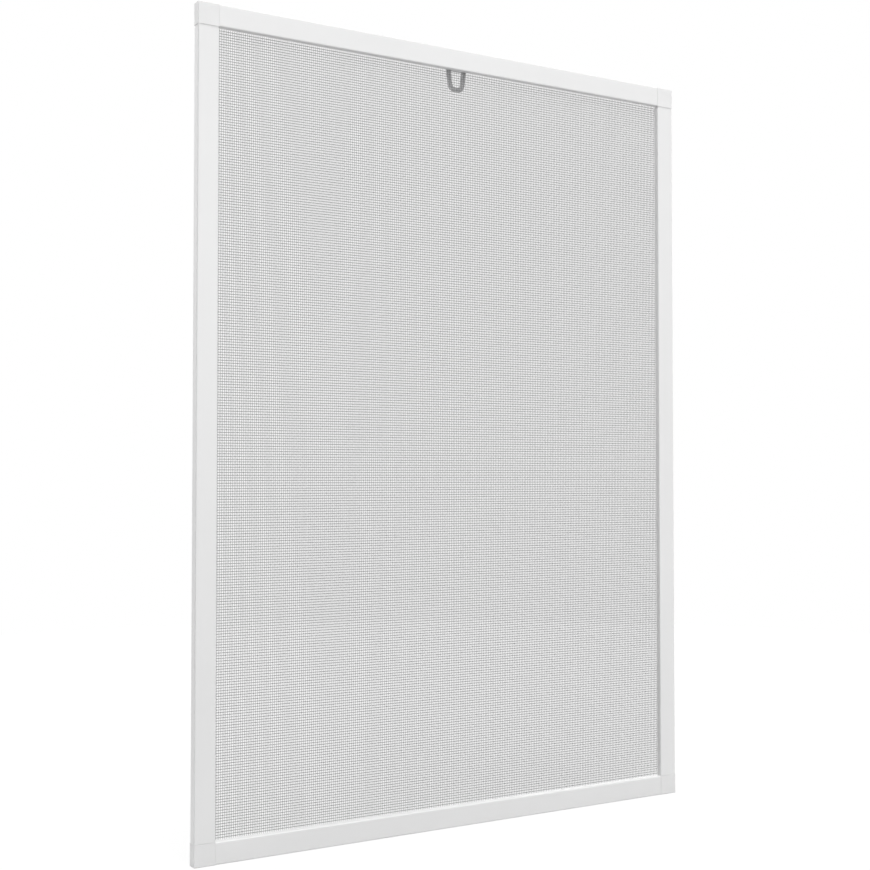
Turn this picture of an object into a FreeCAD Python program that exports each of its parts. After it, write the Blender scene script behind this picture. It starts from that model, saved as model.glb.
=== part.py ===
import FreeCAD, Part
import math
import os

vec = FreeCAD.Vector

# A window insect screen, upright, seen from the front along +Y. X runs along the rails and Z up.
# The origin is under the middle of the lowest edge, at half the depth. All sizes are in mm.

# Frame
frame_width = 544.0          # over the outer edges of the two stiles
frame_height = 762.0         # over the outer edges of the two rails
face_width = 20.0            # a bar, seen from the front
bar_depth = 10.0             # a bar, front face to back face
strip = 0.6                  # aluminium strip that the bars are rolled from
bend_radius = 1.3            # outside of the rolled corners
hem_radius = 0.5             # top of the inner lip, where the strip is folded back on itself
hem_slack = 0.05             # air between two layers of strip
lip_height = 6.3             # front face to the top of the inner lip, which the mesh lies on
cut_gap = 0.15               # a bar's sawn end to the corner key
short_cut_gap = 2.4          # the same at the top of the stiles, which are cut short

# Grips rolled into both walls of the groove
notch_depth = 0.18
notch_width = 0.6
notch_pitch = 1.0
notch_count = 3
notch_start = 0.9            # floor of the groove to the first grip

# Mesh
mesh_thickness = 0.35
mesh_fit = 0.05              # air between the mesh and the aluminium
mesh_trim = 0.9              # cut edge of the mesh, above the spline
mesh_columns = 9             # gaps across
mesh_rows = 13               # gaps up
band_width = 10.0            # woven band between two gaps
threads_per_band = 4
thread_width = 0.9           # a thread stands out of the band
thread_height = 0.25

# Spline
spline_diameter = 4.0
spline_bore = 1.4
spline_fit = 0.05            # air round the spline
spline_end_gap = 0.3         # end of an upright spline to the level one
flute_radius = 0.28
flute_count = 8

# Corner keys
head_proud = 0.1             # how far the head stands out of the bars
head_corner_radius = 0.8
head_edge_radius = 0.75       # no more than the corner radius
tongue_length = 30.0
tongue_fit = 0.25            # air between a tongue and the inside of the bar
tip_length = 4.0
tip_inset = 1.0
core_web = 1.8               # middle web that the cores leave
core_rim = 1.5               # walls that the cores leave
core_count = 3
barb_count = 4
barb_length = 2.2
barb_fit = 0.05              # air between the crest of a barb and the bar
shoulder_sink = 0.6          # how far a shoulder lies below the faces of the bars

# Pull loop
loop_top_width = 22.8
loop_bottom_width = 17.4
loop_drop = 20.2             # below the inner edge of the top rail
loop_thickness = 1.3
leg_top_width = 5.2
leg_bottom_width = 4.4
loop_base = 4.7              # height of the strap across the bottom
loop_outer_radius = 7.6
loop_inner_radius = 3.0
loop_edge_radius = 0.3
foot_thickness = 0.7
foot_depth = 4.4             # how far the foot reaches into the groove
loop_fit = 0.05              # air between the loop and what holds it

hair = 1e-6                  # nearer than this is the same place

# Worked out across a bar from its outer edge, and in depth from its front face
lip_width = 2 * strip + hem_slack
groove_floor = 2 * strip + 2 * hem_slack
groove_width = spline_diameter + 2 * (spline_fit + mesh_thickness + mesh_fit)
groove_in = face_width - lip_width
groove_out = groove_in - groove_width
cavity_in = groove_out - strip
mesh_out = groove_out + mesh_fit
mesh_in = groove_in - mesh_fit
mesh_floor = groove_floor + mesh_fit
mesh_front = lip_height + mesh_fit
mesh_back = mesh_front + mesh_thickness
spline_across = (groove_in + groove_out) / 2
spline_depth = mesh_floor + mesh_thickness + spline_fit + spline_diameter / 2
loop_front = mesh_back + thread_height + loop_fit
loop_back = loop_front + loop_thickness
foot_in = mesh_in - mesh_thickness - loop_fit
foot_out = foot_in - foot_thickness


def seen_from_front(x, z):
    return vec(x, 0, z)


def seen_from_end(across, depth):
    return vec(0, depth, across)


def rounded_wire(corners, place):
    # Each corner is two coordinates and a radius, which becomes an arc tangent to both runs.
    points = [place(a, b) for a, b, radius in corners]
    stretches = []
    for i, here in enumerate(points):
        radius = corners[i][2]
        if radius == 0:
            stretches.append((here, None, here))
            continue
        before = (points[i - 1] - here).normalize()
        after = (points[(i + 1) % len(points)] - here).normalize()
        half_angle = before.getAngle(after) / 2
        inward = (before + after).normalize()
        reach = radius / math.tan(half_angle)
        middle = here + inward * (radius / math.sin(half_angle) - radius)
        stretches.append((here + before * reach, middle, here + after * reach))
    edges = []
    for i, (start, middle, end) in enumerate(stretches):
        if middle is not None:
            edges.append(Part.Arc(start, middle, end).toShape())
        edges.append(Part.LineSegment(end, stretches[(i + 1) % len(stretches)][0]).toShape())
    return Part.Wire(edges)


def block(x, y, z):
    # Each argument is a (low, high) pair.
    return Part.makeBox(x[1] - x[0], y[1] - y[0], z[1] - z[0], vec(x[0], y[0], z[0]))


def turned(shape, quarters):
    copy = shape.copy()
    copy.rotate(vec(0, 0, 0), vec(0, 1, 0), 90 * quarters)
    return copy


def joined(pieces):
    return pieces[0].fuse(pieces[1:]).removeSplitter()


def grips(wall, into_metal):
    # V grips up one wall of the groove, floor to mouth.
    corners = []
    for i in range(notch_count):
        depth = groove_floor + notch_start + i * notch_pitch
        corners.append((wall, depth - notch_width / 2, 0))
        corners.append((wall + into_metal * notch_depth, depth, 0))
        corners.append((wall, depth + notch_width / 2, 0))
    return corners


def bar_section():
    # Box with a hemmed lip along the opening and the spline groove between the two.
    hem = min(hem_radius, lip_width / 2 - hem_slack)
    skin = [(0, 0, bend_radius), (face_width, 0, bend_radius),
            (face_width, lip_height, hem), (groove_in, lip_height, hem)]
    skin += reversed(grips(groove_in, 1))
    skin += [(groove_in, groove_floor, 0), (groove_out, groove_floor, 0)]
    skin += grips(groove_out, -1)
    skin += [(groove_out, bar_depth, bend_radius), (0, bar_depth, bend_radius)]
    inner_bend = max(bend_radius - strip, hem_slack)
    cavity = [(strip, strip, inner_bend), (cavity_in, strip, inner_bend),
              (cavity_in, bar_depth - strip, inner_bend), (strip, bar_depth - strip, inner_bend)]
    wires = [rounded_wire(skin, seen_from_end), rounded_wire(cavity, seen_from_end)]
    return Part.makeFace(wires, "Part::FaceMakerBullseye")


def bar(span, reach, first_gap, last_gap):
    # A lower rail about the middle of the frame: span along X, outer edge at z = -reach.
    start = -span / 2 + face_width + first_gap
    end = span / 2 - face_width - last_gap
    section = bar_section()
    section.translate(vec(start, 0, -reach))
    return section.extrude(vec(end - start, 0, 0))


def head():
    # Square head between the ends of two bars, with the spline groove turning through it.
    low = -head_proud
    plan = [(low, low, head_corner_radius), (face_width, low, 0),
            (face_width, face_width, 0), (low, face_width, 0)]
    square = Part.Face(rounded_wire(plan, seen_from_front))
    square.translate(vec(0, -head_proud, 0))
    solid = square.extrude(vec(0, head_proud + bar_depth, 0))
    rims = [edge for edge in solid.Edges if max(v.Y for v in edge.Vertexes) < low + hair
            and min(edge.CenterOfMass.x, edge.CenterOfMass.z) < head_corner_radius]
    solid = solid.makeFillet(head_edge_radius, rims)
    over = face_width + head_proud
    above_lip = block((groove_out, over), (lip_height, bar_depth + head_proud), (groove_out, over))
    turn = block((groove_out, over), (groove_floor, bar_depth), (groove_out, over))
    post = block((groove_in, over), (0, lip_height), (groove_in, over))
    return solid.cut(above_lip).cut(turn.cut(post))


def tongue():
    # Tongue along +X inside the lower bar: a taper at the tip, cores from both sides and barbs.
    across = (strip + tongue_fit, cavity_in - tongue_fit)
    depth = (strip + tongue_fit, bar_depth - strip - tongue_fit)
    root = face_width
    taper = root + tongue_length - tip_length

    def cross_section(x, inset):
        front, back = depth[0] + inset, depth[1] - inset
        low, high = across[0] + inset, across[1] - inset
        return Part.makePolygon([vec(x, front, low), vec(x, back, low), vec(x, back, high),
                                 vec(x, front, high), vec(x, front, low)])

    body = block((root - core_rim, taper), depth, across)
    tip = Part.makeLoft([cross_section(taper, 0), cross_section(taper + tip_length, tip_inset)], True)
    solids = [body, tip]
    pitch = (taper - root - core_rim) / core_count
    middle = sum(depth) / 2
    rise = tongue_fit - barb_fit
    barb_front = max(depth[0], bend_radius)      # clear of the bends inside the bar
    for i in range(barb_count):
        x = root + (i + 0.5) * (taper - root) / barb_count - barb_length / 2
        for side, out in ((across[0], -rise), (across[1], rise)):
            slope = [(x, side - out), (x, side + out), (x + barb_length, side), (x + barb_length, side - out)]
            ridge = Part.makePolygon([vec(a, barb_front, b) for a, b in slope + slope[:1]])
            solids.append(Part.Face(ridge).extrude(vec(0, bar_depth - 2 * barb_front, 0)))
    whole = joined(solids)
    for i in range(core_count):
        x = root + core_rim + i * pitch
        core_x = (x, x + pitch - core_rim)
        core_z = (across[0] + core_rim, across[1] - core_rim)
        whole = whole.cut(block(core_x, (depth[0] - core_rim, middle - core_web / 2), core_z))
        whole = whole.cut(block(core_x, (middle + core_web / 2, depth[1] + core_rim), core_z))
    return whole


def shoulder(gap):
    # Step that fills the gap from the head to a bar cut short, along +X, and leaves the groove open.
    filled = (face_width, face_width + gap - cut_gap)
    low, high = shoulder_sink, face_width - shoulder_sink
    return [block(filled, (shoulder_sink, bar_depth - shoulder_sink), (low, groove_out)),
            block(filled, (shoulder_sink, groove_floor), (low, high)),
            block(filled, (shoulder_sink, lip_height), (groove_in, high))]


def corner_key(level_gap, upright_gap):
    # Lower left corner, with the outer corner of the bars at x = z = 0. A gap is that to a bar's sawn end.
    solids = [head()]
    for gap, upright in ((level_gap, False), (upright_gap, True)):
        arm = [tongue()]
        if gap > cut_gap + hair:
            arm += shoulder(gap)
        solids += [piece.mirror(vec(0, 0, 0), vec(1, 0, -1)) for piece in arm] if upright else arm
    return joined(solids)


def ring(outer, inner, depth):
    # Flat rectangular ring between two distances from the outer edges of the bars.
    def plate(inset):
        x, z = frame_width / 2 - inset, frame_height / 2 - inset
        return block((-x, x), depth, (-z, z))
    return plate(outer).cut(plate(inner))


def rectangle(x, z):
    # Closed outline; each argument is a (low, high) pair.
    return Part.makePolygon([vec(x[0], 0, z[0]), vec(x[1], 0, z[0]), vec(x[1], 0, z[1]), vec(x[0], 0, z[1]),
                             vec(x[0], 0, z[0])])


def gap_span(field, count, index):
    middle = field * ((index + 0.5) / count - 0.5)
    half = (field / count - band_width) / 2
    return middle - half, middle + half


def woven_wall(field_width, field_height):
    # Flat wall of bands round a grid of gaps, out to where the mesh folds into the groove.
    lap = face_width - mesh_in + mesh_thickness
    x, z = field_width / 2 + lap, field_height / 2 + lap
    wires = [rectangle((-x, x), (-z, z))]
    for column in range(mesh_columns):
        for row in range(mesh_rows):
            wires.append(rectangle(gap_span(field_width, mesh_columns, column),
                                   gap_span(field_height, mesh_rows, row)))
    face = Part.makeFace(wires, "Part::FaceMakerBullseye")
    face.translate(vec(0, mesh_front, 0))
    return face.extrude(vec(0, mesh_thickness, 0))


def threads(length, field, gaps, facing):
    # Threads along X that stand out of the bands, towards -Y or +Y; none lies outside the field.
    root = mesh_front if facing < 0 else mesh_back
    crest = root + facing * thread_height
    half_root, half_crest = thread_width / 2, thread_width / 4
    laid = []
    for i in range(gaps + 1):
        for k in range(threads_per_band):
            z = field * (i / gaps - 0.5) + band_width * ((k + 0.5) / threads_per_band - 0.5)
            if abs(z) > (field - thread_width) / 2:
                continue
            outline = [(z - half_root, root), (z - half_crest, crest),
                       (z + half_crest, crest), (z + half_root, root)]
            profile = Part.makePolygon([vec(-length / 2, depth, across)
                                        for across, depth in outline + outline[:1]])
            laid.append(Part.Face(profile).extrude(vec(length, 0, 0)))
    return laid


def insect_mesh():
    # Stretched wall, folded down over the lip and up again round the spline.
    field_width = frame_width - 2 * face_width
    field_height = frame_height - 2 * face_width
    trim = spline_depth + spline_diameter / 2 + mesh_trim
    solids = [woven_wall(field_width, field_height),
              ring(mesh_in - mesh_thickness, mesh_in, (mesh_floor, mesh_front)),
              ring(mesh_out, mesh_in, (mesh_floor, mesh_floor + mesh_thickness)),
              ring(mesh_out, mesh_out + mesh_thickness, (mesh_floor, trim))]
    solids += threads(field_width, field_height, mesh_rows, -1)
    solids += [turned(thread, 1) for thread in threads(field_height, field_width, mesh_columns, 1)]
    return joined(solids)


def spline(length, reach):
    # Hollow fluted cord along X in the lower groove of a frame that reaches down to z = -reach.
    radius = spline_diameter / 2
    half_flute = 2 * math.asin(flute_radius / (2 * radius))
    centre = vec(-length / 2, spline_depth, spline_across - reach)

    def at(distance, angle):
        return centre + vec(0, distance * math.cos(angle), distance * math.sin(angle))

    edges = []
    pitch = 2 * math.pi / flute_count
    for i in range(flute_count):
        angle = i * pitch
        edges.append(Part.Arc(at(radius, angle - half_flute), at(radius - flute_radius, angle),
                              at(radius, angle + half_flute)).toShape())
        edges.append(Part.Arc(at(radius, angle + half_flute), at(radius, angle + pitch / 2),
                              at(radius, angle + pitch - half_flute)).toShape())
    bore = Part.Wire(Part.Circle(centre, vec(1, 0, 0), spline_bore / 2).toShape())
    section = Part.makeFace([Part.Wire(edges), bore], "Part::FaceMakerBullseye")
    return section.extrude(vec(length, 0, 0))


def pull_loop():
    # Flat U strap behind the mesh, hooked over the lip of the top rail, with its foot in the groove.
    edge = frame_height / 2 - face_width
    top, bottom = loop_top_width / 2, loop_bottom_width / 2
    inner_top, inner_bottom = top - leg_top_width, bottom - leg_bottom_width
    low = edge - loop_drop
    inner_low = low + loop_base
    outside = [(-top, edge, 0), (-bottom, low, loop_outer_radius),
               (bottom, low, loop_outer_radius), (top, edge, 0)]
    inside = [(inner_top, edge, 0), (inner_bottom, inner_low, loop_inner_radius),
              (-inner_bottom, inner_low, loop_inner_radius), (-inner_top, edge, 0)]
    face = Part.Face(rounded_wire(outside + inside, seen_from_front))
    face.translate(vec(0, loop_front, 0))
    solid = face.extrude(vec(0, loop_thickness, 0))
    rims = [e for e in solid.Edges if abs(e.Vertexes[0].Y - e.Vertexes[-1].Y) < hair
            and min(v.Z for v in e.Vertexes) < edge - hair]
    solid = solid.makeFillet(loop_edge_radius, rims)
    width = (-top, top)
    bridge = block(width, (mesh_back + loop_fit, loop_back), (edge, frame_height / 2 - foot_out))
    return joined([solid, bridge, foot(0)])


def foot(clearance):
    top = loop_top_width / 2 + clearance
    return block((-top, top), (loop_back - foot_depth - clearance, loop_back),
                 (frame_height / 2 - foot_in - clearance, frame_height / 2 - foot_out + clearance))


def frame_pieces():
    # Node name to shape, about the middle of the frame and with the front face at y = 0.
    half_width, half_height = frame_width / 2, frame_height / 2
    sides = ["bottom", "left", "top", "right"]
    lengths = [(frame_width, half_height), (frame_height, half_width)] * 2
    bar_names = ["bottom_rail", "left_stile", "top_rail", "right_stile"]
    bar_gaps = [(cut_gap, cut_gap), (short_cut_gap, cut_gap), (cut_gap, cut_gap), (cut_gap, short_cut_gap)]
    level_inset = mesh_out + mesh_thickness + spline_fit
    upright_inset = spline_across + spline_diameter / 2 + spline_end_gap
    pieces = {}
    for quarters, side in enumerate(sides):
        span, reach = lengths[quarters]
        pieces[bar_names[quarters]] = turned(bar(span, reach, *bar_gaps[quarters]), quarters)
        inset = upright_inset if quarters % 2 else level_inset
        pieces["spline_" + side] = turned(spline(span - 2 * inset, reach), quarters)
    corners = {"bottom_left": (-1, -1), "top_left": (-1, 1), "top_right": (1, 1), "bottom_right": (1, -1)}
    for quarters, (corner, (x, z)) in enumerate(corners.items()):
        key = corner_key(bar_gaps[quarters][0], bar_gaps[(quarters + 1) % 4][1])
        placed = turned(key, quarters)
        placed.translate(vec(x * half_width, 0, z * half_height))
        pieces["corner_key_" + corner] = placed
    pieces["insect_mesh"] = insect_mesh()
    pieces["pull_loop"] = pull_loop()
    pieces["spline_top"] = pieces["spline_top"].cut(foot(loop_fit))
    return pieces


os.makedirs("parts", exist_ok=True)
stand = vec(0, head_proud - (bar_depth + head_proud) / 2, frame_height / 2 + head_proud)
for node, shape in frame_pieces().items():
    shape.translate(stand)
    shape.exportStep("parts/" + node + ".step")
    print(node, "solids", len(shape.Solids), "volume mm3", round(shape.Volume, 1), "valid", shape.isValid())
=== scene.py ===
import bpy
import math
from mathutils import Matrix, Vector


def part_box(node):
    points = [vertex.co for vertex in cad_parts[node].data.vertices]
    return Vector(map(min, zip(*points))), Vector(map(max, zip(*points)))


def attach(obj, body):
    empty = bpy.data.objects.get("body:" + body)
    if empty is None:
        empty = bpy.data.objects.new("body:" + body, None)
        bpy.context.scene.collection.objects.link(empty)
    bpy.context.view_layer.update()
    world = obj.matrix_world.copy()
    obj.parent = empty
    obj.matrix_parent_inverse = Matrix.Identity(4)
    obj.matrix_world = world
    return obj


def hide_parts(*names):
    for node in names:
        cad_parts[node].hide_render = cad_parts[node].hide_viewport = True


# A window insect screen: white enamelled bars, moulded corner keys, grey mesh and a pull loop behind it.
# Lengths in the dictionaries are in millimetres, and mm turns them into Blender's metres. The studio's are
# in metres.
mm = 0.001

# Places of the axes in a vector, and of their sockets on a node
acrossX, depthY, upZ = 0, 1, 2

# Sockets of a Mix node that mixes colours: the two it takes, and the one it gives
colourA, colourB, colourMixed = 6, 7, 2

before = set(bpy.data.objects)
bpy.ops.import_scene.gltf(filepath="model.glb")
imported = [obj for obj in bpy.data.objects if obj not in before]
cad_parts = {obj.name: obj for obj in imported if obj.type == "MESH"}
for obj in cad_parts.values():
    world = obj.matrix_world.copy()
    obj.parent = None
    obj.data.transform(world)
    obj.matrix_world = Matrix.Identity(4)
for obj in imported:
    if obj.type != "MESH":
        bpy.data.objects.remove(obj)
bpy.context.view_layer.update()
print("solids loaded:", len(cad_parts))


def linear(hexCode):  # sRGB hex to the linear colour that a socket takes
    channels = [int(hexCode[i:i + 2], 16) / 255 for i in (1, 3, 5)]
    return tuple(c / 12.92 if c <= 0.04045 else ((c + 0.055) / 1.055) ** 2.4 for c in channels) + (1.0,)


def addNode(tree, kind, values=None, links=None, **settings):  # a node with its settings, values and links
    node = tree.nodes.new(kind)
    for name, value in settings.items():
        setattr(node, name, value)
    for socket, value in (values or {}).items():
        node.inputs[socket].default_value = value
    for socket, source in (links or {}).items():
        tree.links.new(source, node.inputs[socket])
    return node


def startMaterial(name, values):  # a Principled shader on its output, with its constants set directly
    material = bpy.data.materials.new(name)
    material.use_nodes = True
    tree = material.node_tree
    tree.nodes.clear()
    shader = addNode(tree, "ShaderNodeBsdfPrincipled", values)
    addNode(tree, "ShaderNodeOutputMaterial", links={"Surface": shader.outputs[0]})
    return material, tree, shader


def addObject(name, data):
    added = bpy.data.objects.new(name, data)
    bpy.context.scene.collection.objects.link(added)
    return added


def turnTowards(aim, place):  # the rotation with which a camera or a lamp at place looks at aim
    return (Vector(aim) - Vector(place)).to_track_quat("-Z", "Y").to_euler()


# Camera: where the photograph was taken from
cameraPlace = {
    "stands": (-684.4, -1114.1, 342.8),
    "aimsAt": (-28.7, -4.95, 380.6),
    "lens": 55.0,
    "sensor": 36.0,
}

cameraData = bpy.data.cameras.new("camera")
cameraData.lens = cameraPlace["lens"]
cameraData.sensor_width = cameraPlace["sensor"]
cameraObject = addObject("camera", cameraData)
cameraObject.location = Vector(cameraPlace["stands"]) * mm
cameraObject.rotation_euler = turnTowards(cameraPlace["aimsAt"], cameraPlace["stands"])
bpy.context.scene.camera = cameraObject
print("camera set")

# Baked enamel on roll-formed aluminium. The paint is on the strip before it is rolled, so it is an even soft
# white with a low sheen, a slight orange peel, and faint lines along the bar from the rollers.
enamel = {
    "white": "#EBEBEB",
    "shade": "#E6E6E6",
    "cloud": 90.0,        # patches of very slightly different white
    "orangePeel": 1.6,
    "peelHeight": 0.012,
    "rollLine": 0.9,      # across the bar
    "rollRun": 120.0,     # along the bar
    "rollHeight": 0.006,
    "roughLow": 0.36,
    "roughHigh": 0.46,
}


def bakedEnamel(name, along):  # along is the axis that the bar runs on
    material, tree, shader = startMaterial(name, {"IOR": 1.5, "Specular IOR Level": 0.5})
    place = addNode(tree, "ShaderNodeTexCoord").outputs["Object"]
    cloud = addNode(tree, "ShaderNodeTexNoise", {"Scale": 1 / (enamel["cloud"] * mm), "Detail": 2.0},
                    {"Vector": place})
    white = addNode(tree, "ShaderNodeMix",
                    {colourA: linear(enamel["shade"]), colourB: linear(enamel["white"])},
                    {"Factor": cloud.outputs[0]}, data_type="RGBA")
    tree.links.new(white.outputs[colourMixed], shader.inputs["Base Color"])
    stretch = [1 / (enamel["rollLine"] * mm)] * 3
    stretch[along] = 1 / (enamel["rollRun"] * mm)
    lanes = addNode(tree, "ShaderNodeMapping", {"Scale": stretch}, {"Vector": place})
    lines = addNode(tree, "ShaderNodeTexNoise", {"Scale": 1.0, "Detail": 3.0}, {"Vector": lanes.outputs[0]})
    peel = addNode(tree, "ShaderNodeTexNoise", {"Scale": 1 / (enamel["orangePeel"] * mm), "Detail": 2.0},
                   {"Vector": place})
    rough = addNode(tree, "ShaderNodeMapRange",
                    {"To Min": enamel["roughLow"], "To Max": enamel["roughHigh"]},
                    {"Value": lines.outputs[0]})
    tree.links.new(rough.outputs[0], shader.inputs["Roughness"])
    rolled = addNode(tree, "ShaderNodeBump", {"Distance": enamel["rollHeight"] * mm},
                     {"Height": lines.outputs[0]})
    peeled = addNode(tree, "ShaderNodeBump", {"Distance": enamel["peelHeight"] * mm},
                     {"Height": peel.outputs[0], "Normal": rolled.outputs[0]})
    tree.links.new(peeled.outputs[0], shader.inputs["Normal"])
    return material


# Injection-moulded polypropylene corner keys: a touch cooler and duller than the paint, with the fine even
# grain of a spark-eroded mould. That grain is about 0.1 mm and is drawn at 0.5 mm so that it shows.
keyPlastic = {
    "white": "#EAEAEA",
    "shade": "#E5E5E5",
    "grain": 0.5,
    "grainHeight": 0.015,
    "flow": 14.0,         # swirls where the melt met
    "roughness": 0.5,
}


def mouldedPolypropylene():
    material, tree, shader = startMaterial("mouldedPolypropylene",
                                           {"IOR": 1.49, "Roughness": keyPlastic["roughness"]})
    place = addNode(tree, "ShaderNodeTexCoord").outputs["Object"]
    flow = addNode(tree, "ShaderNodeTexNoise", {"Scale": 1 / (keyPlastic["flow"] * mm), "Distortion": 1.5},
                   {"Vector": place})
    white = addNode(tree, "ShaderNodeMix",
                    {colourA: linear(keyPlastic["shade"]), colourB: linear(keyPlastic["white"])},
                    {"Factor": flow.outputs[0]}, data_type="RGBA")
    tree.links.new(white.outputs[colourMixed], shader.inputs["Base Color"])
    grain = addNode(tree, "ShaderNodeTexNoise", {"Scale": 1 / (keyPlastic["grain"] * mm), "Detail": 3.0},
                    {"Vector": place})
    bump = addNode(tree, "ShaderNodeBump", {"Distance": keyPlastic["grainHeight"] * mm},
                   {"Height": grain.outputs[0]})
    tree.links.new(bump.outputs[0], shader.inputs["Normal"])
    return material


# Extruded vinyl spline: dark grey, dull, slightly bloomed, with drag lines along it
splineVinyl = {
    "grey": "#4A4C4E",
    "bloom": "#5C5E60",
    "dragLine": 0.4,      # across the spline
    "dragRun": 25.0,      # along it
    "dragHeight": 0.02,
    "roughness": 0.62,
}


def extrudedVinyl(name, along):  # along is the axis that the spline runs on
    material, tree, shader = startMaterial(name, {"IOR": 1.53, "Roughness": splineVinyl["roughness"]})
    place = addNode(tree, "ShaderNodeTexCoord").outputs["Object"]
    stretch = [1 / (splineVinyl["dragLine"] * mm)] * 3
    stretch[along] = 1 / (splineVinyl["dragRun"] * mm)
    lanes = addNode(tree, "ShaderNodeMapping", {"Scale": stretch}, {"Vector": place})
    drag = addNode(tree, "ShaderNodeTexNoise", {"Scale": 1.0, "Detail": 3.0}, {"Vector": lanes.outputs[0]})
    grey = addNode(tree, "ShaderNodeMix",
                   {colourA: linear(splineVinyl["grey"]), colourB: linear(splineVinyl["bloom"])},
                   {"Factor": drag.outputs[0]}, data_type="RGBA")
    tree.links.new(grey.outputs[colourMixed], shader.inputs["Base Color"])
    bump = addNode(tree, "ShaderNodeBump", {"Distance": splineVinyl["dragHeight"] * mm},
                   {"Height": drag.outputs[0]})
    tree.links.new(bump.outputs[0], shader.inputs["Normal"])
    return material


# Moulded nylon pull loop: light grey, satin, with the fine grain of its mould drawn at 0.4 mm
loopNylon = {
    "grey": "#CECECF",
    "shade": "#C4C4C5",
    "grain": 0.4,
    "grainHeight": 0.012,
    "roughness": 0.42,
}


def mouldedNylon():
    material, tree, shader = startMaterial("mouldedNylon",
                                           {"IOR": 1.53, "Roughness": loopNylon["roughness"]})
    place = addNode(tree, "ShaderNodeTexCoord").outputs["Object"]
    grain = addNode(tree, "ShaderNodeTexNoise", {"Scale": 1 / (loopNylon["grain"] * mm), "Detail": 2.0},
                    {"Vector": place})
    grey = addNode(tree, "ShaderNodeMix",
                   {colourA: linear(loopNylon["shade"]), colourB: linear(loopNylon["grey"])},
                   {"Factor": grain.outputs[0]}, data_type="RGBA")
    tree.links.new(grey.outputs[colourMixed], shader.inputs["Base Color"])
    bump = addNode(tree, "ShaderNodeBump", {"Distance": loopNylon["grainHeight"] * mm},
                   {"Height": grain.outputs[0]})
    tree.links.new(bump.outputs[0], shader.inputs["Normal"])
    return material


def dress(node, material):
    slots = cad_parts[node].material_slots
    for slot in slots:
        slot.material = material
    if not slots:
        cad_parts[node].data.materials.append(material)


enamelLevel = bakedEnamel("bakedEnamelRail", acrossX)
enamelUpright = bakedEnamel("bakedEnamelStile", upZ)
vinylLevel = extrudedVinyl("extrudedVinylLevel", acrossX)
vinylUpright = extrudedVinyl("extrudedVinylUpright", upZ)
keyMaterial = mouldedPolypropylene()
for end in ("top", "bottom"):
    dress(end + "_rail", enamelLevel)
    dress("spline_" + end, vinylLevel)
    for side in ("left", "right"):
        dress("corner_key_" + end + "_" + side, keyMaterial)
for side in ("left", "right"):
    dress(side + "_stile", enamelUpright)
    dress("spline_" + side, vinylUpright)
dress("pull_loop", mouldedNylon())
print("frame dressed")

# Vinyl-coated glass yarn, woven plain and heated so that the crossings fuse. The common 18 by 16 mesh has a
# thread of 0.28 mm every 1.4 by 1.6 mm. That is finer than the picture can show, so it is drawn half as
# coarse again, with as many threads as the photograph has. An upright thread is split into two strands, each
# near the real width, because the uprights look that much fainter than the level threads.
screenCloth = {
    "warpCount": 245,          # upright threads
    "weftCount": 302,          # level threads
    "warpPitch": 2.06,         # from one upright thread to the next
    "weftPitch": 2.387,        # from one level thread to the next
    "threadWidth": 0.6,
    "threadSides": 5,
    "strandWidth": 0.33,       # an upright thread is two strands
    "strandGap": 0.74,         # from the middle of one strand to the middle of the other
    "pressedWidth": 0.38,      # in the groove, under the spline
    "flattened": 0.22,         # share of its depth that a thread loses in the open, where it is pressed flat
    "lipMargin": 0.1,          # beside the lip, where a thread stays round
    "warpDepth": 6.6,          # middle of a thread, from the front of the bars
    "weftDepth": 6.71,
    "wander": 0.045,           # how far a thread lies off its place
    "seed": 7,
    # How far outwards from the edge of the opening, and how deep from the front of the bars: over the lip,
    # down, across and up. The first point is in the open, at the level of the threads.
    "fold": [(-0.4, None), (0.0, 6.54), (1.15, 6.54), (1.37, 6.44), (1.475, 6.2), (1.475, 1.85),
             (1.57, 1.62), (1.8, 1.525), (5.6, 1.525), (5.83, 1.62), (5.925, 1.85), (5.925, 6.65)],
    "foldPitch": 2.2,          # threads that lie along the groove
    "cutSize": (536.0, 754.0),
}

yarn = {
    "over": "#9B9B9C",         # painted light where a thread passes over its neighbour
    "under": "#868687",        # painted shade where it dips under
    "twist": 2.17,             # one turn of the yarn, drawn coarser than it is so that it shows
    "twistHeight": 0.03,
    "twistStrength": 0.6,
    "crimpHeight": 0.12,
    "roughness": 0.5,
}

waveRate = 10.0  # a diagonal Wave texture turns 10 radians in each unit


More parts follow.
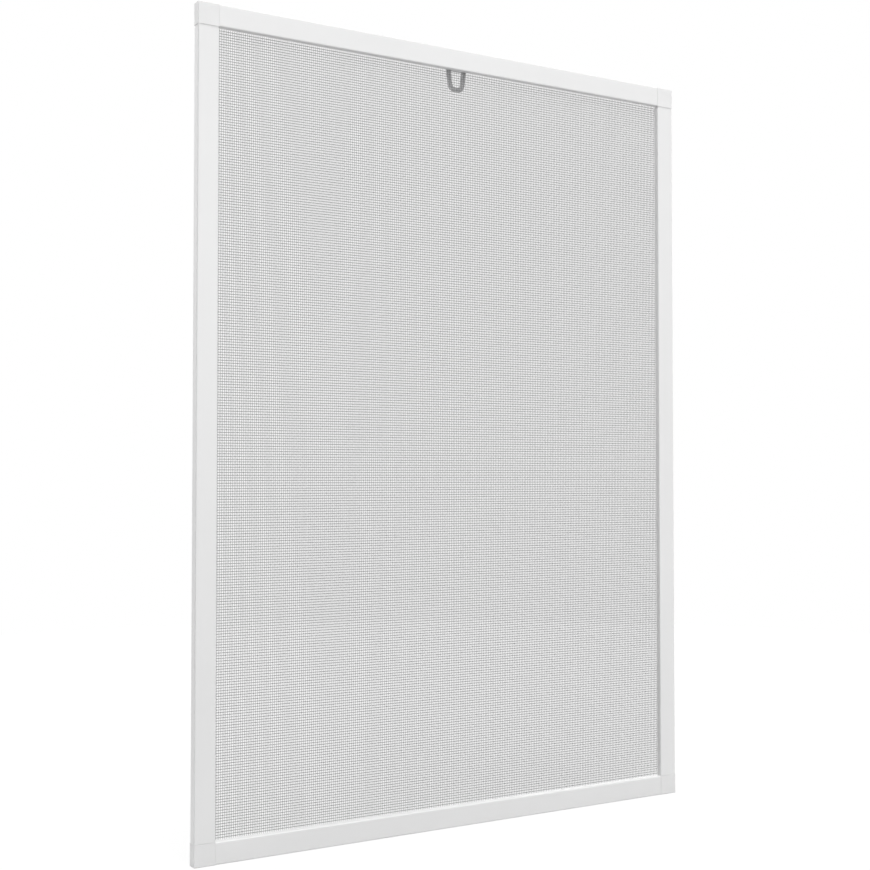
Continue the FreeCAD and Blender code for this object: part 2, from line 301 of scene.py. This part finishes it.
def coatedYarn():  # grey vinyl on glass fibre: satin, with the crimp of the weave as a bump and as painted light and shade, and the twist of the yarn
    material, tree, shader = startMaterial("vinylCoatedYarn", {"IOR": 1.5, "Roughness": yarn["roughness"]})
    place = addNode(tree, "ShaderNodeTexCoord").outputs["Object"]
    halfTurns = (math.pi / (screenCloth["warpPitch"] * mm), 1.0, math.pi / (screenCloth["weftPitch"] * mm))
    steps = addNode(tree, "ShaderNodeMapping", {"Scale": halfTurns}, {"Vector": place})
    parts = addNode(tree, "ShaderNodeSeparateXYZ", links={0: steps.outputs[0]}).outputs
    acrossWave = addNode(tree, "ShaderNodeMath", links={0: parts[acrossX]}, operation="COSINE")
    upWave = addNode(tree, "ShaderNodeMath", links={0: parts[upZ]}, operation="COSINE")
    crimp = addNode(tree, "ShaderNodeMath", links={0: acrossWave.outputs[0], 1: upWave.outputs[0]},
                    operation="MULTIPLY")
    # The crimp's lift drives both the bump and the painted light and shade in the colour
    crimpLiftAndPaintedShade = addNode(tree, "ShaderNodeMapRange", {"From Min": -1.0, "From Max": 1.0},
                   {"Value": crimp.outputs[0]})
    # Painted light where a thread passes over its neighbour, painted shade where it dips under
    grey = addNode(tree, "ShaderNodeMix", {colourA: linear(yarn["under"]), colourB: linear(yarn["over"])},
                   {"Factor": crimpLiftAndPaintedShade.outputs[0]}, data_type="RGBA")
    tree.links.new(grey.outputs[colourMixed], shader.inputs["Base Color"])
    twistScale = 2 * math.pi / (waveRate * yarn["twist"] * mm)
    twist = addNode(tree, "ShaderNodeTexWave", {"Scale": twistScale, "Distortion": 0.4}, {"Vector": place},
                    bands_direction="DIAGONAL")
    crimped = addNode(tree, "ShaderNodeBump", {"Distance": yarn["crimpHeight"] * mm},
                      {"Height": crimpLiftAndPaintedShade.outputs[0]})
    twisted = addNode(tree, "ShaderNodeBump",
                      {"Distance": yarn["twistHeight"] * mm, "Strength": yarn["twistStrength"]},
                      {"Height": twist.outputs[0], "Normal": crimped.outputs[0]})
    tree.links.new(twisted.outputs[0], shader.inputs["Normal"])
    return material


def weaveInputs(tree):  # the sizes that the weave is given, by name
    tree.interface.new_socket("fold", in_out="INPUT", socket_type="NodeSocketGeometry")
    for name in ("warpCount", "weftCount", "threadSides", "seed"):
        tree.interface.new_socket(name, in_out="INPUT", socket_type="NodeSocketInt")
    for name in ("warpPitch", "weftPitch", "threadWidth", "strandWidth", "strandGap", "pressedWidth",
                 "flattened", "lipMargin", "warpDepth", "weftDepth", "wander", "foldPitch", "halfWidth",
                 "halfHeight", "middleHeight"):
        tree.interface.new_socket(name, in_out="INPUT", socket_type="NodeSocketFloat")
    tree.interface.new_socket("finish", in_out="INPUT", socket_type="NodeSocketMaterial")
    tree.interface.new_socket("cloth", in_out="OUTPUT", socket_type="NodeSocketGeometry")
    return addNode(tree, "NodeGroupInput").outputs


def readFold(tree, given):
    # A thread has the fold's points twice. They count outwards from its middle, and side says to which end.
    foldPoints = addNode(tree, "GeometryNodeAttributeDomainSize", links={0: given["fold"]},
                         component="MESH").outputs[0]
    points = addNode(tree, "ShaderNodeMath", {1: 2.0}, {0: foldPoints}, operation="MULTIPLY").outputs[0]
    index = addNode(tree, "GeometryNodeInputIndex").outputs[0]
    fromMiddle = addNode(tree, "ShaderNodeMath", links={0: index, 1: foldPoints},
                         operation="SUBTRACT").outputs[0]
    centred = addNode(tree, "ShaderNodeMath", {1: 0.5}, {0: fromMiddle}, operation="ADD").outputs[0]
    side = addNode(tree, "ShaderNodeMath", links={0: centred}, operation="SIGN").outputs[0]
    away = addNode(tree, "ShaderNodeMath", links={0: centred}, operation="ABSOLUTE").outputs[0]
    foldIndex = addNode(tree, "ShaderNodeMath", {1: 0.5}, {0: away}, operation="SUBTRACT").outputs[0]
    position = addNode(tree, "GeometryNodeInputPosition").outputs[0]
    foldPlace = addNode(tree, "GeometryNodeSampleIndex",
                        links={"Geometry": given["fold"], "Value": position, "Index": foldIndex},
                        data_type="FLOAT_VECTOR").outputs[0]
    parts = addNode(tree, "ShaderNodeSeparateXYZ", links={0: foldPlace}).outputs
    return {"points": points, "side": side, "outward": parts[acrossX], "depth": parts[depthY]}


def foldedThread(tree, given, fold, shares, family, halfSpan, along, row):
    # One thread, from the end of one fold to the end of the other, and narrower where the spline presses it
    bare = addNode(tree, "GeometryNodeMeshLine", links={"Count": fold["points"]}).outputs[0]
    reach = addNode(tree, "ShaderNodeMath", links={0: given[halfSpan], 1: fold["outward"]},
                    operation="ADD").outputs[0]
    run = addNode(tree, "ShaderNodeMath", links={0: reach, 1: fold["side"]}, operation="MULTIPLY").outputs[0]
    inField = addNode(tree, "ShaderNodeMath", {1: 0.0}, {0: fold["outward"]},
                      operation="LESS_THAN").outputs[0]
    level = addNode(tree, "ShaderNodeMix",
                    links={"Factor": inField, "A": fold["depth"], "B": given[family + "Depth"]},
                    data_type="FLOAT").outputs[0]
    point = addNode(tree, "ShaderNodeCombineXYZ", links={along: run, depthY: level}).outputs[0]
    bent = addNode(tree, "GeometryNodeSetPosition", links={"Geometry": bare, "Position": point}).outputs[0]
    share = addNode(tree, "ShaderNodeMix", {"B": 1.0}, {"Factor": inField, "A": shares["pressedWidth"]},
                    data_type="FLOAT").outputs[0]
    if family == "warp":
        share = addNode(tree, "ShaderNodeMath", links={0: share, 1: shares["strandWidth"]},
                        operation="MULTIPLY").outputs[0]
    marked = addNode(tree, "GeometryNodeStoreNamedAttribute", {"Name": "share"},
                     {"Geometry": bent, "Value": share}, data_type="FLOAT", domain="POINT").outputs[0]
    thread = addNode(tree, "GeometryNodeMeshToCurve", links={0: marked}).outputs[0]
    if family == "weft":
        return thread
    # An upright thread is two strands, side by side
    apart = addNode(tree, "ShaderNodeCombineXYZ", links={row: given["strandGap"]}).outputs[0]
    aside = addNode(tree, "ShaderNodeVectorMath", {1: (-0.5, -0.5, -0.5)}, {0: apart},
                    operation="MULTIPLY").outputs[0]
    twins = addNode(tree, "GeometryNodeMeshLine", {"Count": 2},
                    {"Start Location": aside, "Offset": apart}).outputs[0]
    pair = addNode(tree, "GeometryNodeInstanceOnPoints",
                   links={"Points": twins, "Instance": thread}).outputs[0]
    return addNode(tree, "GeometryNodeRealizeInstances", links={0: pair}).outputs[0]


def rowOfThreads(tree, given, thread, family, row):
    # An even row about the middle, in which each thread lies a little off its place
    last = addNode(tree, "ShaderNodeMath", {1: 1.0}, {0: given[family + "Count"]},
                   operation="SUBTRACT").outputs[0]
    spread = addNode(tree, "ShaderNodeMath", links={0: last, 1: given[family + "Pitch"]},
                     operation="MULTIPLY").outputs[0]
    firstPlace = addNode(tree, "ShaderNodeMath", {1: -0.5}, {0: spread}, operation="MULTIPLY").outputs[0]
    first = addNode(tree, "ShaderNodeCombineXYZ", links={row: firstPlace}).outputs[0]
    step = addNode(tree, "ShaderNodeCombineXYZ", links={row: given[family + "Pitch"]}).outputs[0]
    even = addNode(tree, "GeometryNodeMeshLine", links={"Count": given[family + "Count"],
                                                        "Start Location": first, "Offset": step}).outputs[0]
    least = addNode(tree, "ShaderNodeMath", {1: -1.0}, {0: given["wander"]}, operation="MULTIPLY").outputs[0]
    seed = addNode(tree, "ShaderNodeMath", {1: float(row)}, {0: given["seed"]}, operation="ADD").outputs[0]
    stray = addNode(tree, "FunctionNodeRandomValue",
                    links={"Min": least, "Max": given["wander"], "Seed": seed}, data_type="FLOAT")
    strayLength = [output for output in stray.outputs if output.enabled][0]
    shift = addNode(tree, "ShaderNodeCombineXYZ", links={row: strayLength}).outputs[0]
    strayed = addNode(tree, "GeometryNodeSetPosition", links={"Geometry": even, "Offset": shift}).outputs[0]
    laid = addNode(tree, "GeometryNodeInstanceOnPoints",
                   links={"Points": strayed, "Instance": thread}).outputs[0]
    return addNode(tree, "GeometryNodeRealizeInstances", links={0: laid}).outputs[0]


def grooveThreads(tree, given, pressedShare):
    # Threads that lie along the groove: a rectangle for each step of the fold, as far out as that step
    foldLine = addNode(tree, "GeometryNodeMeshToCurve", links={0: given["fold"]}).outputs[0]
    stops = addNode(tree, "GeometryNodeCurveToPoints",
                    links={"Curve": foldLine, "Length": given["foldPitch"]}, mode="LENGTH").outputs[0]
    position = addNode(tree, "GeometryNodeInputPosition").outputs[0]
    parts = addNode(tree, "ShaderNodeSeparateXYZ", links={0: position}).outputs
    inField = addNode(tree, "ShaderNodeMath", {1: 0.0}, {0: parts[acrossX]},
                      operation="LESS_THAN").outputs[0]
    inGroove = addNode(tree, "GeometryNodeDeleteGeometry", links={"Geometry": stops, "Selection": inField},
                       domain="POINT").outputs[0]
    square = addNode(tree, "GeometryNodeCurvePrimitiveQuadrilateral",
                     {"Width": 2.0, "Height": 2.0}).outputs[0]
    upright = addNode(tree, "GeometryNodeTransform", {"Rotation": (math.pi / 2, 0, 0)},
                      {"Geometry": square}).outputs[0]
    halfAcross = addNode(tree, "ShaderNodeMath", links={0: given["halfWidth"], 1: parts[acrossX]},
                         operation="ADD").outputs[0]
    halfUp = addNode(tree, "ShaderNodeMath", links={0: given["halfHeight"], 1: parts[acrossX]},
                     operation="ADD").outputs[0]
    size = addNode(tree, "ShaderNodeCombineXYZ", {depthY: 1.0},
                   {acrossX: halfAcross, upZ: halfUp}).outputs[0]
    sized = addNode(tree, "GeometryNodeStoreNamedAttribute", {"Name": "size"},
                    {"Geometry": inGroove, "Value": size},
                    data_type="FLOAT_VECTOR", domain="POINT").outputs[0]
    onlyDepth = addNode(tree, "ShaderNodeCombineXYZ", links={depthY: parts[depthY]}).outputs[0]
    drawnIn = addNode(tree, "GeometryNodeSetPosition",
                      links={"Geometry": sized, "Position": onlyDepth}).outputs[0]
    sizeOf = addNode(tree, "GeometryNodeInputNamedAttribute", {"Name": "size"},
                     data_type="FLOAT_VECTOR").outputs[0]
    rings = addNode(tree, "GeometryNodeInstanceOnPoints",
                    links={"Points": drawnIn, "Instance": upright, "Scale": sizeOf}).outputs[0]
    realRings = addNode(tree, "GeometryNodeRealizeInstances", links={0: rings}).outputs[0]
    return addNode(tree, "GeometryNodeStoreNamedAttribute", {"Name": "share"},
                   {"Geometry": realRings, "Value": pressedShare},
                   data_type="FLOAT", domain="POINT").outputs[0]


def pressFlat(tree, given, tubes):
    # In the open, every point comes nearer to the level between the two layers of threads
    position = addNode(tree, "GeometryNodeInputPosition").outputs[0]
    parts = addNode(tree, "ShaderNodeSeparateXYZ", links={0: position}).outputs
    inside = []
    for axis, halfSpan in ((acrossX, "halfWidth"), (upZ, "halfHeight")):
        distance = addNode(tree, "ShaderNodeMath", links={0: parts[axis]}, operation="ABSOLUTE").outputs[0]
        withMargin = addNode(tree, "ShaderNodeMath", links={0: distance, 1: given["lipMargin"]},
                             operation="ADD").outputs[0]
        inside.append(addNode(tree, "ShaderNodeMath", links={0: withMargin, 1: given[halfSpan]},
                              operation="LESS_THAN").outputs[0])
    inOpening = addNode(tree, "ShaderNodeMath", links={0: inside[0], 1: inside[1]},
                        operation="MULTIPLY").outputs[0]
    layers = addNode(tree, "ShaderNodeMath", links={0: given["warpDepth"], 1: given["weftDepth"]},
                     operation="ADD").outputs[0]
    between = addNode(tree, "ShaderNodeMath", {1: 0.5}, {0: layers}, operation="MULTIPLY").outputs[0]
    offLevel = addNode(tree, "ShaderNodeMath", links={0: between, 1: parts[depthY]},
                       operation="SUBTRACT").outputs[0]
    inward = addNode(tree, "ShaderNodeMath", links={0: offLevel, 1: given["flattened"]},
                     operation="MULTIPLY").outputs[0]
    press = addNode(tree, "ShaderNodeCombineXYZ", links={depthY: inward}).outputs[0]
    return addNode(tree, "GeometryNodeSetPosition",
                   links={"Geometry": tubes, "Selection": inOpening, "Offset": press}).outputs[0]


def weaveTree():
    tree = bpy.data.node_groups.new("wovenScreen", "GeometryNodeTree")
    given = weaveInputs(tree)
    fold = readFold(tree, given)
    # How wide a pressed thread and a strand are, as shares of a whole thread
    shares = {width: addNode(tree, "ShaderNodeMath", links={0: given[width], 1: given["threadWidth"]},
                             operation="DIVIDE").outputs[0] for width in ("pressedWidth", "strandWidth")}
    together = addNode(tree, "GeometryNodeJoinGeometry")
    for family, halfSpan, along, row in (("warp", "halfHeight", upZ, acrossX),
                                         ("weft", "halfWidth", acrossX, upZ)):
        thread = foldedThread(tree, given, fold, shares, family, halfSpan, along, row)
        tree.links.new(rowOfThreads(tree, given, thread, family, row), together.inputs[0])
    tree.links.new(grooveThreads(tree, given, shares["pressedWidth"]), together.inputs[0])
    # Each line becomes a round thread, as thick there as its share says
    halfThread = addNode(tree, "ShaderNodeMath", {1: 0.5}, {0: given["threadWidth"]},
                         operation="MULTIPLY").outputs[0]
    profile = addNode(tree, "GeometryNodeCurvePrimitiveCircle",
                      links={"Resolution": given["threadSides"], "Radius": halfThread}).outputs[0]
    shareOf = addNode(tree, "GeometryNodeInputNamedAttribute", {"Name": "share"},
                      data_type="FLOAT").outputs[0]
    tubes = addNode(tree, "GeometryNodeCurveToMesh", {"Fill Caps": True},
                    {"Curve": together.outputs[0], "Profile Curve": profile, "Scale": shareOf}).outputs[0]
    pressed = pressFlat(tree, given, tubes)
    smooth = addNode(tree, "GeometryNodeSetShadeSmooth", links={"Geometry": pressed}).outputs[0]
    rise = addNode(tree, "ShaderNodeCombineXYZ", links={upZ: given["middleHeight"]}).outputs[0]
    raised = addNode(tree, "GeometryNodeTransform",
                     links={"Geometry": smooth, "Translation": rise}).outputs[0]
    real = addNode(tree, "GeometryNodeRealizeInstances", links={0: raised}).outputs[0]
    finished = addNode(tree, "GeometryNodeSetMaterial",
                       links={"Geometry": real, "Material": given["finish"]}).outputs[0]
    addNode(tree, "NodeGroupOutput", links={0: finished})
    return tree


def grown(name, path, tree, values):  # runs a tree on a line of points and returns the plain mesh it makes
    line = bpy.data.meshes.new(name)
    line.from_pydata(path, [(i, i + 1) for i in range(len(path) - 1)], [])
    start = addObject(name, line)
    modifier = start.modifiers.new("weave", "NODES")
    modifier.node_group = tree
    for item in tree.interface.items_tree:
        if item.item_type == "SOCKET" and item.in_out == "INPUT" and item.name in values:
            modifier[item.identifier] = values[item.name]
    seen = start.evaluated_get(bpy.context.evaluated_depsgraph_get())
    mesh = bpy.data.meshes.new_from_object(seen)
    bpy.data.objects.remove(start)
    return addObject(name, mesh)


openingLeft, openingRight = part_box("left_stile")[1][acrossX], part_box("right_stile")[0][acrossX]
openingLow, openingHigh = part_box("bottom_rail")[1][upZ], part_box("top_rail")[0][upZ]
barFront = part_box("top_rail")[0][depthY]

weaveValues = {name: screenCloth[name]
               for name in ("warpCount", "weftCount", "threadSides", "seed", "flattened")}
for name in ("warpPitch", "weftPitch", "threadWidth", "strandWidth", "strandGap", "pressedWidth",
             "lipMargin", "wander", "foldPitch"):
    weaveValues[name] = screenCloth[name] * mm
for name in ("warpDepth", "weftDepth"):
    weaveValues[name] = barFront + screenCloth[name] * mm
weaveValues.update(halfWidth=(openingRight - openingLeft) / 2, halfHeight=(openingHigh - openingLow) / 2,
                   middleHeight=(openingLow + openingHigh) / 2, finish=coatedYarn())
foldPath = [(outward * mm, barFront + (depth or screenCloth["weftDepth"]) * mm, 0)
            for outward, depth in screenCloth["fold"]]
cloth = grown("insectScreenCloth", foldPath, weaveTree(), weaveValues)
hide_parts("insect_mesh")
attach(cloth, "root")
print("cloth woven:", sum(len(face.vertices) - 2 for face in cloth.data.polygons), "triangles")

# Studio: a pale floor and plain white surroundings, with soft light from above, in front and behind
studio = {
    "floorRadius": 1.8,        # past it the white surroundings go on
    "floorSides": 96,
    "floorLight": "#BEBEBE",   # what the floor throws back on the object
    "floorSeen": "#616161",    # what the camera sees of it, with the glow on top
    "floorGlow": 0.885,
    "surroundings": 0.32,      # how strongly the white surroundings light the object
    "lamps": [  # name, place, aim, size, watts
        ("overhead", (0.0, -1.6, 4.2), (0, 0, 0.4), 2.4, 108.0),
        ("front", (0.0, -3.2, 1.2), (0, 0, 0.4), 1.8, 18.5),
        ("near", (0.4, -1.5, 0.8), (0, 0, 0.5), 0.8, 4.5),
        ("behindLeft", (-2.2, 1.8, 1.4), (0, 0, 0.4), 1.8, 33.0),
        ("behindRight", (2.2, 1.8, 1.4), (0, 0, 0.4), 1.8, 26.0),
        ("behindOverhead", (0.0, 1.3, 2.6), (0, 0, 0.4), 1.6, 16.0),
    ],
}


def cameraOrMirror(tree):  # 1 where the eye, a reflection or glass looks straight at it
    path = addNode(tree, "ShaderNodeLightPath").outputs
    some = addNode(tree, "ShaderNodeMath", links={0: path["Is Camera Ray"], 1: path["Is Glossy Ray"]},
                   operation="MAXIMUM")
    return addNode(tree, "ShaderNodeMath", links={0: some.outputs[0], 1: path["Is Transmission Ray"]},
                   operation="MAXIMUM").outputs[0]


def palePaper():  # matt paper that glows a little to the eye, so that only the object's shadow shows on it
    material = bpy.data.materials.new("palePaper")
    material.use_nodes = True
    tree = material.node_tree
    tree.nodes.clear()
    straight = cameraOrMirror(tree)
    tone = addNode(tree, "ShaderNodeMix",
                   {colourA: linear(studio["floorLight"]), colourB: linear(studio["floorSeen"])},
                   {"Factor": straight}, data_type="RGBA")
    paper = addNode(tree, "ShaderNodeBsdfDiffuse", links={"Color": tone.outputs[colourMixed]})
    glowSeen = addNode(tree, "ShaderNodeMath", {1: studio["floorGlow"]}, {0: straight}, operation="MULTIPLY")
    glow = addNode(tree, "ShaderNodeEmission", links={"Strength": glowSeen.outputs[0]})
    look = addNode(tree, "ShaderNodeAddShader", links={0: paper.outputs[0], 1: glow.outputs[0]})
    addNode(tree, "ShaderNodeOutputMaterial", links={"Surface": look.outputs[0]})
    return material


turns = [2 * math.pi * side / studio["floorSides"] for side in range(studio["floorSides"])]
rim = [(studio["floorRadius"] * math.cos(turn), studio["floorRadius"] * math.sin(turn), 0) for turn in turns]
floorMesh = bpy.data.meshes.new("floor")
floorMesh.from_pydata(rim, [], [tuple(range(len(rim)))])
floorMesh.materials.append(palePaper())
addObject("floor", floorMesh)

world = bpy.data.worlds.new("studio")
bpy.context.scene.world = world
world.use_nodes = True
worldTree = world.node_tree
worldTree.nodes.clear()
white = (1, 1, 1, 1)
lightSide = addNode(worldTree, "ShaderNodeBackground", {"Color": white, "Strength": studio["surroundings"]})
seenSide = addNode(worldTree, "ShaderNodeBackground", {"Color": white, "Strength": 1.0})
worldLook = addNode(worldTree, "ShaderNodeMixShader",
                    links={0: cameraOrMirror(worldTree), 1: lightSide.outputs[0], 2: seenSide.outputs[0]})
addNode(worldTree, "ShaderNodeOutputWorld", links={"Surface": worldLook.outputs[0]})

for name, place, aim, size, watts in studio["lamps"]:
    lampData = bpy.data.lights.new(name, "AREA")
    lampData.shape, lampData.size, lampData.energy = "SQUARE", size, watts
    lamp = addObject(name, lampData)
    lamp.location = place
    lamp.rotation_euler = turnTowards(aim, place)
bpy.context.scene.view_settings.view_transform = "Standard"
print("studio lit")
